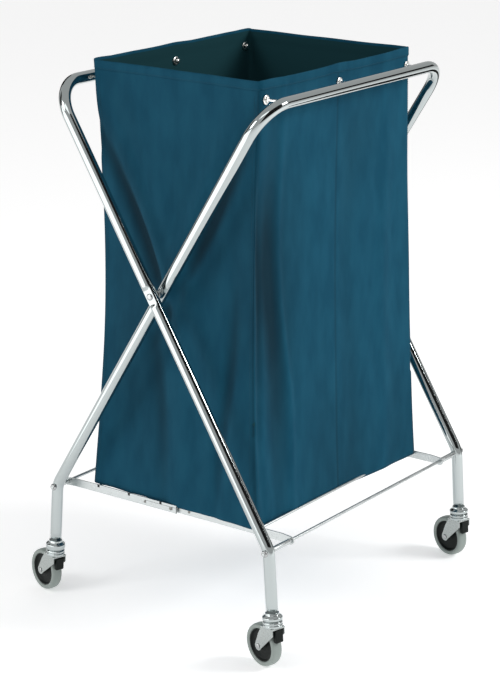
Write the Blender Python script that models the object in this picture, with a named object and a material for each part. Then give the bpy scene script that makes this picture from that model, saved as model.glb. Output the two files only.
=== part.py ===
"""Folding laundry cart: two crossed chrome tube frames on four swivel casters, an open fabric
bag hung between the two top rails, and a folding two-part wire platform under the bag.

Metres, +Z up, floor at Z = 0. The rails run along X and the frames cross in the YZ plane.
Frame A has its rail on the -Y side and its feet on the +Y side, frame B is the other way round.
"""

import bpy
from math import acos, atan2, cos, pi, sin, sqrt, tan, radians
from mathutils import Matrix, Vector

GAP = 0.0003

# Tube frames
TUBE_R = 0.0110
TUBE_SIDES = 14
RAIL_Z = 1.000
RAIL_Y = 0.2174
LEG_X_A = 0.2914
LEG_X_B = 0.3225
KNEE_Y = 0.2567
KNEE_Z = 0.2253
FOOT_Y = 0.2727
TUBE_END_Z = 0.1108
RAIL_BEND_R = 0.065
KNEE_BEND_R = 0.060

# Scissor pivot
PIVOT_Z = 0.645
DENT_HALF_LENGTH = 0.020
DENT_KEEP = 0.59
BOLT_R = 0.0037
BOLT_HEAD_R = 0.0062
BOLT_HEAD_T = 0.0030
PIVOT_SPACER_R = 0.0085
PIVOT_NUT_R = 0.0068
PIVOT_NUT_T = 0.0050

# Cross rods at the knees
ROD_Z = 0.2225
ROD_R = 0.0030
ROD_SPACER_R = 0.0052
ROD_NUT_R = 0.0064
ROD_NUT_T = 0.0050

# Folding platform: strip bars with cross wires let into their top edges
BAR_T = 0.0030
BAR_X_A = 0.2620
BAR_X_B = 0.2560
BAR_BOTTOM = 0.2165
BAR_TOP = 0.2320
BAR_END_R = 0.0078
BAR_TIP_A = -0.0060
BAR_TIP_B = 0.0070
WIRE_R = 0.0025
WIRES_A = (0.1060, 0.1795)
WIRES_B = (-0.0420, -0.1155, -0.1890)
RIVET_Y = 0.0070
RIVET_R = 0.0036
RIVET_T = 0.0014

# Bag: outside half sizes at the mouth and at the bottom
BAG_T = 0.0020
BAG_TOP_Z = 1.0340
BAG_BOTTOM_Z = BAR_TOP + GAP
BAG_TOP_X = 0.2420
BAG_BOTTOM_X = 0.2545
BAG_Y = 0.2003
BAG_FRONT_TOP_Y = -0.1755
BAG_FRONT_BOTTOM_Y = -0.1900
BAG_FRONT_LEAN = 0.0182
BAG_CORNER_R = 0.0100

# Studs on the rails and eyelets in the bag's hem
STUD_XS = (-0.2220, 0.0, 0.2220)
STUD_R = 0.0026
STUD_KNOB_R = 0.0046
EYELET_R = 0.0085
EYELET_BORE = 0.0032
EYELET_NECK = 0.0045
EYELET_FLANGE = 0.0012

# Casters
TRAIL = 0.0280
TRAIL_DIR = Vector((0.276, 0.961, 0.0))
WHEEL_R = 0.0400
WHEEL_HALF_W = 0.0110
FORK_IN = 0.0125
FORK_T = 0.0020
CROWN_LOW = 0.0405
CROWN_T = 0.0135
CROWN_R = 0.0180
AXLE_R = 0.0030
WHEEL_SEGS = 24

# Moves the whole cart so that the origin is under the middle of its outline
SHIFT = Vector((-0.0048, -0.0239, 0.0))


def clear_scene():
    for obj in list(bpy.data.objects):
        bpy.data.objects.remove(obj, do_unlink=True)


def material(name, color, metallic, roughness):
    mat = bpy.data.materials.new(name)
    mat.use_nodes = True
    shader = mat.node_tree.nodes["Principled BSDF"]
    shader.inputs["Base Color"].default_value = (*color, 1.0)
    shader.inputs["Metallic"].default_value = metallic
    shader.inputs["Roughness"].default_value = roughness
    return mat


def make(name, verts, faces, mat, origin=(0, 0, 0), smooth=True):
    """A mesh object whose origin sits at the given point of the cart."""
    origin = Vector(origin)
    mesh = bpy.data.meshes.new(name)
    mesh.from_pydata([Vector(v) - origin for v in verts], [], faces)
    mesh.update()
    mesh.materials.append(mat)
    obj = bpy.data.objects.new(name, mesh)
    obj.location = origin + SHIFT
    bpy.context.collection.objects.link(obj)
    for poly in mesh.polygons:
        poly.use_smooth = smooth
    return obj


def boolean(obj, tool, operation):
    """Cuts or joins a tool body, then drops the tool."""
    mod = obj.modifiers.new("edit", "BOOLEAN")
    mod.operation = operation
    mod.solver = "EXACT"
    mod.object = tool
    bpy.context.view_layer.update()
    graph = bpy.context.evaluated_depsgraph_get()
    result = bpy.data.meshes.new_from_object(obj.evaluated_get(graph))
    result.name = obj.name
    obj.modifiers.clear()
    obj.data = result
    bpy.data.objects.remove(tool, do_unlink=True)


def ring_faces(rows, sides, closed=False):
    faces = []
    for i in range(rows if closed else rows - 1):
        for k in range(sides):
            a, b = i * sides + k, i * sides + (k + 1) % sides
            c, d = ((i + 1) % rows) * sides + (k + 1) % sides, ((i + 1) % rows) * sides + k
            faces.append((a, b, c, d))
    return faces


def frame_of(axis, hint=(1, 0, 0)):
    """A matrix whose Z column is the axis and X column lies near the hint."""
    z = Vector(axis).normalized()
    x = Vector(hint) - Vector(hint).dot(z) * z
    x.normalize()
    y = z.cross(x)
    return Matrix((x, y, z)).transposed()


def lathe(name, profile, segs, mat, centre, axis, hint=(1, 0, 0), origin=None, smooth=True, turn=0.0):
    """Turns a closed outline of (radius, height) points about an axis through a centre.
    The outline starts and ends on the axis, or goes round a bore."""
    m = frame_of(axis, hint)
    centre = Vector(centre)
    solid = profile[0][0] == 0.0
    ring = profile[1:-1] if solid else profile
    verts = []
    for r, h in ring:
        for k in range(segs):
            u = turn + 2 * pi * k / segs
            verts.append(centre + m @ Vector((r * cos(u), r * sin(u), h)))
    faces = ring_faces(len(ring), segs, closed=not solid)
    if solid:
        last = (len(ring) - 1) * segs
        faces.append(tuple(reversed(range(segs))))
        faces.append(tuple(range(last, last + segs)))
    return make(name, verts, faces, mat, origin if origin is not None else centre, smooth)


def cylinder(name, r, low, high, mat, axis=(1, 0, 0), centre=(0, 0, 0), segs=16, origin=None):
    profile = [(0.0, low), (r, low), (r, high), (0.0, high)]
    return lathe(name, profile, segs, mat, centre, axis, hint=(0, 0.1, 1), origin=origin)


def box(name, low, high, mat, origin=(0, 0, 0)):
    (x0, y0, z0), (x1, y1, z1) = low, high
    verts = [(x, y, z) for z in (z0, z1) for y in (y0, y1) for x in (x0, x1)]
    faces = [(0, 2, 3, 1), (4, 5, 7, 6), (0, 1, 5, 4), (2, 6, 7, 3), (0, 4, 6, 2), (1, 3, 7, 5)]
    return make(name, verts, faces, mat, origin, smooth=False)


def prism(name, outline, low, high, matrix, centre, mat, origin):
    """Extrudes an outline drawn in the matrix's first two columns along its third."""
    n = len(outline)
    verts = [Vector(centre) + matrix @ Vector((u, v, w)) for w in (low, high) for u, v in outline]
    faces = [tuple(reversed(range(n))), tuple(range(n, 2 * n))]
    faces += [(k, (k + 1) % n, n + (k + 1) % n, n + k) for k in range(n)]
    return make(name, verts, faces, mat, origin, smooth=False)


def rounded_path(points, radii, steps):
    """A polyline with each inner corner replaced by an arc."""
    path = [Vector(points[0])]
    for i in range(1, len(points) - 1):
        p = Vector(points[i])
        back = (Vector(points[i - 1]) - p).normalized()
        ahead = (Vector(points[i + 1]) - p).normalized()
        half = acos(max(-1, min(1, back.dot(ahead)))) / 2
        centre = p + (back + ahead).normalized() * radii[i - 1] / sin(half)
        start = p + back * radii[i - 1] / tan(half)
        end = p + ahead * radii[i - 1] / tan(half)
        sweep = pi - 2 * half
        a, b = start - centre, end - centre
        for s in range(steps[i - 1] + 1):
            f = s / steps[i - 1]
            path.append(centre + (a * sin((1 - f) * sweep) + b * sin(f * sweep)) / sin(sweep))
    path.append(Vector(points[-1]))
    return path


def with_stations(path, pivot):
    """Adds closely spaced stations where a straight run passes the pivot."""
    out = [path[0]]
    for a, b in zip(path, path[1:]):
        run = b - a
        t = (pivot - a).dot(run) / run.length_squared
        near = (a + run * t - pivot).length
        if 0 < t < 1 and near < 0.012 and run.length > 0.2:
            for k in range(-4, 5):
                out.append(a + run * t + run.normalized() * DENT_HALF_LENGTH * k / 4)
        out.append(b)
    return out


def build_frame(name, leg_x, side, dent_side, mat):
    """One bent tube: foot, knee, rail, knee, foot. side is the Y sign of the feet."""
    foot_y = FOOT_Y - (FOOT_Y - KNEE_Y) * TUBE_END_Z / KNEE_Z
    points = [
        (-leg_x, side * foot_y, TUBE_END_Z),
        (-leg_x, side * KNEE_Y, KNEE_Z),
        (-leg_x, -side * RAIL_Y, RAIL_Z),
        (leg_x, -side * RAIL_Y, RAIL_Z),
        (leg_x, side * KNEE_Y, KNEE_Z),
        (leg_x, side * foot_y, TUBE_END_Z),
    ]
    radii = (KNEE_BEND_R, RAIL_BEND_R, RAIL_BEND_R, KNEE_BEND_R)
    path = rounded_path(points, radii, (4, 7, 7, 4))
    for s in (-1, 1):
        path = with_stations(path, Vector((s * leg_x, 0, PIVOT_Z)))
    tangents = []
    for i in range(len(path)):
        before, after = path[max(i - 1, 0)], path[min(i + 1, len(path) - 1)]
        tangents.append((after - before).normalized())
    normal = tangents[0].cross(Vector((1, 0, 0))).normalized()
    verts = []
    for i, (p, t) in enumerate(zip(path, tangents)):
        normal = (normal - normal.dot(t) * t).normalized()
        other = t.cross(normal)
        away = min((p - Vector((s * leg_x, 0, PIVOT_Z))).length for s in (-1, 1))
        depth = min(1.0, 1.6 * max(0.0, 1 - (away / DENT_HALF_LENGTH) ** 2))
        for k in range(TUBE_SIDES):
            u = 2 * pi * (k + 0.5) / TUBE_SIDES
            v = p + (normal * cos(u) + other * sin(u)) * TUBE_R
            out = 1 if p.x > 0 else -1
            if (v.x - p.x) * out * dent_side > 0:
                flat = max(-TUBE_R * DENT_KEEP, min(TUBE_R * DENT_KEEP, v.x - p.x))
                v.x = v.x + (p.x + flat - v.x) * depth
            verts.append(v)
    faces = ring_faces(len(path), TUBE_SIDES)
    last = (len(path) - 1) * TUBE_SIDES
    faces.append(tuple(reversed(range(TUBE_SIDES))))
    faces.append(tuple(range(last, last + TUBE_SIDES)))
    origin = (0, 0, PIVOT_Z)
    tube = make(name, verts, faces, mat, origin)
    for s in (-1, 1):
        span = sorted((s * (leg_x - 0.03), s * (leg_x + 0.03)))
        bolt_hole = cylinder("hole", BOLT_R + GAP, *span, mat, centre=(0, 0, PIVOT_Z))
        boolean(tube, bolt_hole, "DIFFERENCE")
        rod_hole = cylinder("hole", ROD_R + GAP, *span, mat, centre=(0, side * KNEE_Y, ROD_Z), segs=12)
        boolean(tube, rod_hole, "DIFFERENCE")
    return tube


def build_pivots(mats):
    """Bolt, spacer and nut at each crossing, all held by frame A."""
    for tag, s in (("left", -1), ("right", 1)):
        head_in = LEG_X_B + TUBE_R * DENT_KEEP + GAP
        nut_out = LEG_X_A - TUBE_R * DENT_KEEP - GAP
        nut_in = nut_out - PIVOT_NUT_T
        axis, centre = (s, 0, 0), (0, 0, PIVOT_Z)
        bolt = [
            (0.0, nut_in - 0.0015), (BOLT_R, nut_in - 0.0015), (BOLT_R, head_in),
            (BOLT_HEAD_R, head_in), (BOLT_HEAD_R, head_in + 0.4 * BOLT_HEAD_T),
            (0.6 * BOLT_HEAD_R, head_in + BOLT_HEAD_T), (0.0, head_in + BOLT_HEAD_T),
        ]
        lathe("pivot_bolt_" + tag, bolt, 14, mats["bolt"], centre, axis, (0, 0, 1))
        spacer_in, spacer_out = LEG_X_A + TUBE_R + GAP, LEG_X_B - TUBE_R - GAP
        bore = BOLT_R + GAP
        spacer = [(bore, spacer_in), (PIVOT_SPACER_R, spacer_in), (PIVOT_SPACER_R, spacer_out),
                  (bore, spacer_out)]
        lathe("pivot_spacer_" + tag, spacer, 18, mats["steel"], centre, axis, (0, 0, 1))
        hex_bore = bore / cos(pi / 6)
        nut = [(hex_bore, nut_in), (PIVOT_NUT_R, nut_in), (PIVOT_NUT_R, nut_out), (hex_bore, nut_out)]
        lathe("pivot_nut_" + tag, nut, 6, mats["bolt"], centre, axis, (0, 0, 1), smooth=False)


def build_rod(letter, leg_x, bar_x, side, mats):
    """A cross rod through the knees, with a spacer sleeve and an end nut on each side."""
    centre = (0, side * KNEE_Y, ROD_Z)
    end = leg_x + TUBE_R + GAP + ROD_NUT_T + 0.0008
    cylinder("rod_" + letter, ROD_R, -end, end, mats["steel"], centre=centre, segs=12)
    for tag, s in (("left", -1), ("right", 1)):
        axis = (s, 0, 0)
        low, high = bar_x + BAR_T / 2 + GAP, leg_x - TUBE_R - GAP
        bore = ROD_R + GAP
        sleeve = [(bore, low), (ROD_SPACER_R, low), (ROD_SPACER_R, high), (bore, high)]
        lathe(f"rod_{letter}_spacer_{tag}", sleeve, 12, mats["steel"], centre, axis, (0, 0, 1))
        low = leg_x + TUBE_R + GAP
        nut = [(bore, low), (ROD_NUT_R, low), (ROD_NUT_R * 0.98, low + ROD_NUT_T * 0.6),
               (ROD_NUT_R * 0.7, low + ROD_NUT_T), (bore, low + ROD_NUT_T)]
        lathe(f"rod_{letter}_nut_{tag}", nut, 10, mats["bolt"], centre, axis, (0, 0, 1))


def bar_outline(side, tip):
    """The bar seen along X: rounded round its rod at one end, square at the tip."""
    y0 = side * KNEE_Y
    mid = ROD_Z
    pts = []
    for k in range(9):
        u = pi / 2 - pi * k / 8
        pts.append((y0 + side * BAR_END_R * cos(u), mid + BAR_END_R * sin(u)))
    flat = y0 - side * 0.018
    pts += [(flat, BAR_BOTTOM), (tip, BAR_BOTTOM), (tip, BAR_TOP), (flat, BAR_TOP)]
    return pts if side > 0 else list(reversed(pts))


def build_platform(name, side, bar_x, tip, wires, mat):
    """Two strip bars joined by cross wires, turning on the rod of their frame."""
    origin = (0, side * KNEE_Y, ROD_Z)
    yz = Matrix(((0, 0, 1), (1, 0, 0), (0, 1, 0)))
    outline = bar_outline(side, tip)
    whole = None
    for s in (-1, 1):
        low, high = s * bar_x - BAR_T / 2, s * bar_x + BAR_T / 2
        bar = prism(name, outline, low, high, yz, (0, 0, 0), mat, origin)
        hole = cylinder("hole", ROD_R + GAP, low - 0.002, high + 0.002, mat, centre=origin, segs=12)
        boolean(bar, hole, "DIFFERENCE")
        if whole is None:
            whole = bar
        else:
            boolean(whole, bar, "UNION")
    for y in wires:
        end = bar_x + BAR_T / 2 - 0.0002
        wire = cylinder("wire", WIRE_R, -end, end, mat, centre=(0, y, BAR_TOP - WIRE_R - 0.0001), segs=10)
        boolean(whole, wire, "UNION")
    whole.name = name
    return whole


def build_centre_rivets(mats):
    for tag, s in (("left", -1), ("right", 1)):
        low = BAR_X_A + BAR_T / 2 + GAP
        head = [(0.0, low), (RIVET_R, low), (RIVET_R * 0.9, low + RIVET_T * 0.6),
                (RIVET_R * 0.5, low + RIVET_T), (0.0, low + RIVET_T)]
        centre = (0, RIVET_Y, (BAR_BOTTOM + BAR_TOP) / 2)
        lathe("centre_rivet_" + tag, head, 12, mats["bolt"], centre, (s, 0, 0), (0, 0, 1))


def bag_front(z):
    """Y of the bag's outer face on the -Y side, which leans inwards towards the mouth."""
    f = (z - BAG_BOTTOM_Z) / (BAG_TOP_Z - BAG_BOTTOM_Z)
    return BAG_FRONT_BOTTOM_Y + (BAG_FRONT_TOP_Y - BAG_FRONT_BOTTOM_Y) * f


def bag_loop(half_x, wall, corner, z):
    """A rounded rectangle at one height, drawn the given wall thickness inside the outer face."""
    half_y = (BAG_Y - bag_front(z)) / 2 - wall
    mid_y = (BAG_Y + bag_front(z)) / 2
    pts = []
    per_side = 5
    corners = ((1, 1), (-1, 1), (-1, -1), (1, -1))
    for q, (cx, cy) in enumerate(corners):
        for k in range(5):
            u = q * pi / 2 + pi / 2 * k / 4
            pts.append((cx * (half_x - corner) + corner * cos(u),
                        cy * (half_y - corner) + corner * sin(u)))
        x0, y0 = pts[-1]
        nx, ny = corners[(q + 1) % 4]
        u = (q + 1) * pi / 2
        x1 = nx * (half_x - corner) + corner * cos(u)
        y1 = ny * (half_y - corner) + corner * sin(u)
        for k in range(1, per_side):
            f = k / per_side
            pts.append((x0 + (x1 - x0) * f, y0 + (y1 - y0) * f))
    return [(x, y + mid_y, z) for x, y in pts]


def build_bag(mat):
    """Open-topped fabric bag with a thin wall, its bottom lying on the platform."""
    outer, inner = [], []
    for half_x, z in ((BAG_BOTTOM_X, BAG_BOTTOM_Z), (BAG_TOP_X, BAG_TOP_Z)):
        outer.append(bag_loop(half_x, 0.0, BAG_CORNER_R, z))
        z_in = max(z, BAG_BOTTOM_Z + BAG_T) if z == BAG_BOTTOM_Z else z
        inner.append(bag_loop(half_x - BAG_T, BAG_T, BAG_CORNER_R - BAG_T, z_in))
    loops = outer + list(reversed(inner))
    sides = len(outer[0])
    verts = [p for loop in loops for p in loop]
    faces = ring_faces(len(loops), sides)
    last = (len(loops) - 1) * sides
    faces.append(tuple(reversed(range(sides))))
    faces.append(tuple(range(last, last + sides)))
    bag = make("bag", verts, faces, mat)
    for face in (bag_front(RAIL_Z), BAG_Y):
        for x in STUD_XS:
            low, high = face - 0.01, face + 0.01
            hole = cylinder("hole", EYELET_NECK + GAP, low, high, mat, (0, 1, 0), (x, 0, RAIL_Z), 12)
            boolean(bag, hole, "DIFFERENCE")
    return bag


def build_fasteners(mats):
    """Studs on the inner side of both rails, each through an eyelet in the bag's hem."""
    names = ("left", "middle", "right")
    for letter, side in (("a", -1), ("b", 1)):
        for tag, x in zip(names, STUD_XS):
            centre, axis = (x, 0, RAIL_Z), (0, side, 0)
            wall = BAG_Y if side > 0 else -bag_front(RAIL_Z)
            lean = 0.0 if side > 0 else EYELET_R * BAG_FRONT_LEAN
            out_face, in_face = wall + GAP + lean, wall - BAG_T - GAP - lean
            ring = [
                (EYELET_BORE, in_face - EYELET_FLANGE), (EYELET_R, in_face - EYELET_FLANGE),
                (EYELET_R, in_face), (EYELET_NECK, in_face), (EYELET_NECK, out_face),
                (EYELET_R, out_face), (EYELET_R, out_face + EYELET_FLANGE),
                (EYELET_BORE, out_face + EYELET_FLANGE),
            ]
            lathe(f"eyelet_{letter}_{tag}", ring, 14, mats["eyelet"], centre, axis, (0, 0, 1))
            root = RAIL_Y - TUBE_R - GAP
            knob = in_face - EYELET_FLANGE - GAP
            stud = [
                (0.0, knob - 0.0050), (STUD_KNOB_R * 0.6, knob - 0.0050),
                (STUD_KNOB_R, knob - 0.0035), (STUD_KNOB_R, knob - 0.0012),
                (STUD_R, knob), (STUD_R, root), (0.0, root),
            ]
            lathe(f"stud_{letter}_{tag}", stud, 10, mats["chrome"], centre, axis, (0, 0, 1))


def wheel_profile():
    half, r = WHEEL_HALF_W, WHEEL_R
    return [(0.0310, -0.0092), (0.0360, -half), (0.0386, -0.0092), (r, -0.0050),
            (r, 0.0050), (0.0386, 0.0092), (0.0360, half), (0.0310, 0.0092)]


def caster_axes(side):
    """Swivel axis, trail direction and wheel axle direction of a caster under a leg."""
    lean = atan2(FOOT_Y - KNEE_Y, KNEE_Z)
    up = Vector((0, -side * sin(lean), cos(lean)))
    trail = (TRAIL_DIR - TRAIL_DIR.dot(up) * up).normalized()
    return up, trail, up.cross(trail)


def wheel_drop(axle):
    """How far the lowest point of the tyre lies below the wheel's centre."""
    tilt = abs(axle.z)
    level = sqrt(1 - tilt * tilt)
    return max(r * level + abs(w) * tilt for r, w in wheel_profile())


def build_caster(tag, leg_x, side, s, mats):
    up, trail, axle = caster_axes(side)
    foot = Vector((s * leg_x, side * FOOT_Y, 0))
    rise = (wheel_drop(axle) - TRAIL * trail.z) / up.z
    hub_at = foot + up * rise + trail * TRAIL
    crown = rise + CROWN_LOW
    swivel = foot + up * (crown + CROWN_T)
    m = Matrix((trail, axle, up)).transposed()

    top = (TUBE_END_Z - GAP) / up.z
    base = crown + CROWN_T + GAP
    collar = [
        (0.0, base), (CROWN_R - 0.0015, base), (CROWN_R + 0.0005, base + 0.0020),
        (CROWN_R + 0.0005, top - 0.0070), (CROWN_R - 0.0030, top - 0.0040),
        (TUBE_R + 0.0020, top - 0.0030), (TUBE_R + 0.0015, top), (0.0, top),
    ]
    lathe(f"caster_{tag}_collar", collar, 18, mats["chrome"], foot, up, trail)

    disc = [
        (0.0, crown + 0.0005), (CROWN_R - 0.0010, crown + 0.0005), (CROWN_R, crown + 0.0020),
        (CROWN_R, crown + CROWN_T - 0.0030), (CROWN_R - 0.0020, crown + CROWN_T),
        (0.0, crown + CROWN_T),
    ]
    fork = lathe(f"caster_{tag}_fork", disc, 18, mats["zinc"], foot, up, trail, origin=swivel)
    plate_in, plate_out = FORK_IN, FORK_IN + FORK_T
    wide = plate_out + 0.0004
    slab_pts = [(-0.0159, -wide), (0.0174, -wide), (0.0174, wide), (-0.0159, wide)]
    slab = prism("slab", slab_pts, crown - 0.0012, crown + 0.0020, m, foot, mats["zinc"], swivel)
    boolean(fork, slab, "UNION")
    outline = [(-0.0155, crown + 0.0010), (-0.0155, crown - 0.0120)]
    tip_r = 0.0085
    for k in range(7):
        u = radians(205) + radians(170) * k / 6
        outline.append((TRAIL + tip_r * cos(u), rise + tip_r * sin(u)))
    outline += [(0.0250, crown - 0.0140), (0.0170, crown - 0.0020), (0.0170, crown + 0.0010)]
    sideways = Matrix((trail, up, -axle)).transposed()
    for sign in (-1, 1):
        low, high = sorted((sign * plate_in, sign * plate_out))
        plate = prism("plate", outline, low, high, sideways, foot, mats["zinc"], swivel)
        boolean(fork, plate, "UNION")
    pin_hole = cylinder("hole", AXLE_R + GAP, -0.03, 0.03, mats["zinc"], axle, hub_at, segs=12)
    boolean(fork, pin_hole, "DIFFERENCE")
    fork.name = f"caster_{tag}_fork"

    guard_pts = [(-0.0185, -0.0085), (-0.0108, -0.0085), (-0.0108, 0.0085), (-0.0185, 0.0085)]
    low, high = crown - 0.0255, crown - 0.0012 - GAP
    prism(f"caster_{tag}_guard", guard_pts, low, high, m, foot, mats["black"], swivel)

    head_at = plate_out + GAP
    pin = [
        (0.0, -head_at - 0.0016), (0.0034, -head_at - 0.0016), (0.0048, -head_at - 0.0008),
        (0.0048, -head_at), (AXLE_R, -head_at), (AXLE_R, head_at), (0.0048, head_at),
        (0.0048, head_at + 0.0008), (0.0034, head_at + 0.0016), (0.0, head_at + 0.0016),
    ]
    lathe(f"caster_{tag}_axle", pin, 12, mats["bolt"], hub_at, axle, up)

    lathe(f"caster_{tag}_tyre", wheel_profile(), WHEEL_SEGS, mats["tyre"], hub_at, axle, (0, 0, 1))
    bore = AXLE_R + GAP
    hub = [
        (bore, -0.0105), (0.0075, -0.0105), (0.0095, -0.0060), (0.0255, -0.0040),
        (0.0307, -0.0085), (0.0307, 0.0085), (0.0255, 0.0040), (0.0095, 0.0060),
        (0.0075, 0.0105), (bore, 0.0105),
    ]
    lathe(f"caster_{tag}_hub", hub, WHEEL_SEGS, mats["black"], hub_at, axle, up)


def main():
    clear_scene()
    mats = {
        "chrome": material("chrome", (0.80, 0.80, 0.80), 1.0, 0.08),
        "steel": material("steel", (0.70, 0.71, 0.72), 1.0, 0.32),
        "zinc": material("zinc", (0.62, 0.63, 0.63), 1.0, 0.30),
        "bolt": material("bolt", (0.60, 0.60, 0.60), 1.0, 0.25),
        "eyelet": material("eyelet", (0.75, 0.75, 0.74), 1.0, 0.18),
        "fabric": material("fabric", (0.022, 0.088, 0.135), 0.0, 0.85),
        "tyre": material("tyre", (0.33, 0.35, 0.33), 0.0, 0.60),
        "black": material("black", (0.015, 0.015, 0.016), 0.0, 0.45),
    }
    build_frame("frame_a_tube", LEG_X_A, 1, -1, mats["chrome"])
    build_frame("frame_b_tube", LEG_X_B, -1, 1, mats["chrome"])
    build_pivots(mats)
    build_rod("a", LEG_X_A, BAR_X_A, 1, mats)
    build_rod("b", LEG_X_B, BAR_X_B, -1, mats)
    build_platform("platform_a", 1, BAR_X_A, BAR_TIP_A, WIRES_A, mats["steel"])
    build_platform("platform_b", -1, BAR_X_B, BAR_TIP_B, WIRES_B, mats["steel"])
    build_centre_rivets(mats)
    build_bag(mats["fabric"])
    build_fasteners(mats)
    for tag, leg_x, side, s in (("a1", LEG_X_A, 1, -1), ("a2", LEG_X_A, 1, 1),
                                ("b1", LEG_X_B, -1, -1), ("b2", LEG_X_B, -1, 1)):
        build_caster(tag, leg_x, side, s, mats)


main()
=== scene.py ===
"""Looks for the folding laundry cart: chrome tube frames, casters, folding wire platform and a
sewn cloth bag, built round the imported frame.

Lengths are in metres. Shapes are worked out in the cart's own coordinates, with the rails along
X and the frames crossing in the YZ plane, and then moved by SHIFT into the row frame.
"""

from math import acos, atan2, cos, exp, pi, radians, sin, sqrt, tan

import bpy
from mathutils import Matrix, Vector, noise


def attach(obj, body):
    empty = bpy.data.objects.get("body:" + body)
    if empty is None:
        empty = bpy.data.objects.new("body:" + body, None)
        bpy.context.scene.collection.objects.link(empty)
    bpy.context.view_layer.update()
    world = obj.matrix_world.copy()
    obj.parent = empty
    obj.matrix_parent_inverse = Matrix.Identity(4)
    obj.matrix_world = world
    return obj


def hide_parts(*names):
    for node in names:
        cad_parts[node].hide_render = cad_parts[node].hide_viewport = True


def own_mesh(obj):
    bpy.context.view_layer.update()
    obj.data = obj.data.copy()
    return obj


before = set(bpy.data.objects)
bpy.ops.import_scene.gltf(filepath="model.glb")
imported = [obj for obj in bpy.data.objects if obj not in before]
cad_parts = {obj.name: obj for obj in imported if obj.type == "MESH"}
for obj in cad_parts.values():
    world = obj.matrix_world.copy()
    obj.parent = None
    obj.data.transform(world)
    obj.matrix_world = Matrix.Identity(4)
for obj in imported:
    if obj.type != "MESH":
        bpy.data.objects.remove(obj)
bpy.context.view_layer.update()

SHIFT = Vector((-0.0048, -0.0239, 0.0))
GAP = 0.0003

# Tube frames
TUBE_R = 0.0110
TUBE_SIDES = 64
RAIL_Z, RAIL_Y = 1.000, 0.2174
LEG_X = {"a": 0.2914, "b": 0.3225}
SIDE = {"a": 1, "b": -1}
KNEE_Y, KNEE_Z = 0.2567, 0.2253
FOOT_Y, TUBE_END_Z = 0.2727, 0.1108
RAIL_BEND_R, KNEE_BEND_R = 0.065, 0.060
PIVOT_Z = 0.645
DENT_LENGTH, DENT_KEEP = 0.020, 0.59

# Fasteners and rods
BOLT_R, BOLT_HEAD_R, BOLT_HEAD_T = 0.0037, 0.0062, 0.0030
ROD_Z, ROD_R, ROD_SPACER_R = 0.2225, 0.0030, 0.0052
ROD_NUT_R, ROD_NUT_T = 0.0064, 0.0050

# Platform
BAR_T, BAR_BOTTOM, BAR_TOP = 0.0030, 0.2165, 0.2320
BAR_X = {"a": 0.2620, "b": 0.2560}
BAR_TIP = {"a": -0.0060, "b": 0.0070}
BAR_END_R = 0.0078
WIRE_R = 0.0025
WIRES = {"a": (0.1060, 0.1795), "b": (-0.0420, -0.1155, -0.1890)}
EMPTY_NOTCH_Y = 0.0310
CENTRE_RIVET_Y = 0.0070
SIDE_RIVETS = (("a", 0.0675), ("b", -0.0310))
LIP_END_Y = 0.0675

# Bag
BAG_TOP, BAG_BOTTOM = 1.0335, 0.2330
BAG_TOP_X, BAG_BOTTOM_X, BAG_Y = 0.2400, 0.2530, 0.1985
# how far each corner hangs from the plain outline, at the mouth, half way and at the bottom
BAG_CORNERS = {
    (-1, -1): (
        Vector((0.0040, 0.0260, 0.0)), Vector((-0.0060, 0.0085, 0.0)), Vector((-0.0090, 0.0150, -0.0050)),
    ),
    (1, -1): (
        Vector((-0.0070, 0.0220, 0.0)), Vector((-0.0040, 0.0030, 0.0)), Vector((0.0095, -0.0010, -0.0080)),
    ),
    (-1, 1): (
        Vector((0.0, 0.0, 0.0020)), Vector((0.0095, -0.0130, 0.0)), Vector((0.0, 0.0, -0.0020)),
    ),
    (1, 1): (
        Vector((0.0020, 0.0, -0.0010)), Vector((-0.0050, -0.0100, 0.0)), Vector((0.0, 0.0, 0.0)),
    ),
}
# how far the end walls bow inwards half way up the bag
BAG_WAIST = 0.0060
# soft folds: (X, depth, drift with height, width) on the long walls and
# (Y at the top, slope, depth, height share, width) slanting over the end walls
WALL_FOLDS = (
    (-0.195, -0.0095, 0.022, 0.034), (-0.233, -0.0050, 0.006, 0.009), (-0.178, 0.0050, 0.042, 0.009),
    (0.165, 0.0040, -0.024, 0.020), (0.020, -0.0030, 0.034, 0.034),
)
END_FOLDS = (
    (0.236, -0.40, -0.0105, 0.64, 0.017), (0.200, -0.40, 0.0070, 0.60, 0.020),
    (0.120, -0.34, 0.0050, 0.50, 0.030), (-0.205, 0.46, -0.0105, 0.68, 0.018),
    (-0.160, 0.44, 0.0070, 0.60, 0.020), (-0.160, 0.05, -0.0090, 0.26, 0.015),
    (-0.060, 0.06, 0.0050, 0.22, 0.030), (0.120, -0.10, -0.0060, 0.20, 0.020),
)
# the folds stand out at most this far: less on the +Y wall, which hangs close to rail B
FOLD_LIMIT, REAR_FOLD_LIMIT = 0.0110, 0.0026
BAG_CORNER_R = 0.0075
BAG_AROUND, BAG_ROWS = 380, 130
CLOTH_HALF_T = 0.0006
EYELET_XS = (-0.2220, 0.0, 0.2220)
RAIL_SHARE = (RAIL_Z - BAG_BOTTOM) / (BAG_TOP - BAG_BOTTOM)
HEM_LOW = 1 - 0.016 / (BAG_TOP - BAG_BOTTOM)
PANEL_LOOPS = 16
STITCH_LENGTH, STITCH_R = 0.0027, 0.00032
HEM_STITCHES, SEAM_STITCHES = 440, 190
# half the distance between the two rows of stitches at a seam, as a share of the way round
SEAM_ROW_SHARE = 0.0042

# Casters
TRAIL = 0.0280
WHEEL_R, WHEEL_HALF_W = 0.0400, 0.0110
FORK_IN, FORK_T = 0.0125, 0.0020
CROWN_LOW, CROWN_T, CROWN_R = 0.0405, 0.0135, 0.0180
AXLE_R = 0.0030


# ---------------------------------------------------------------- materials


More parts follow.
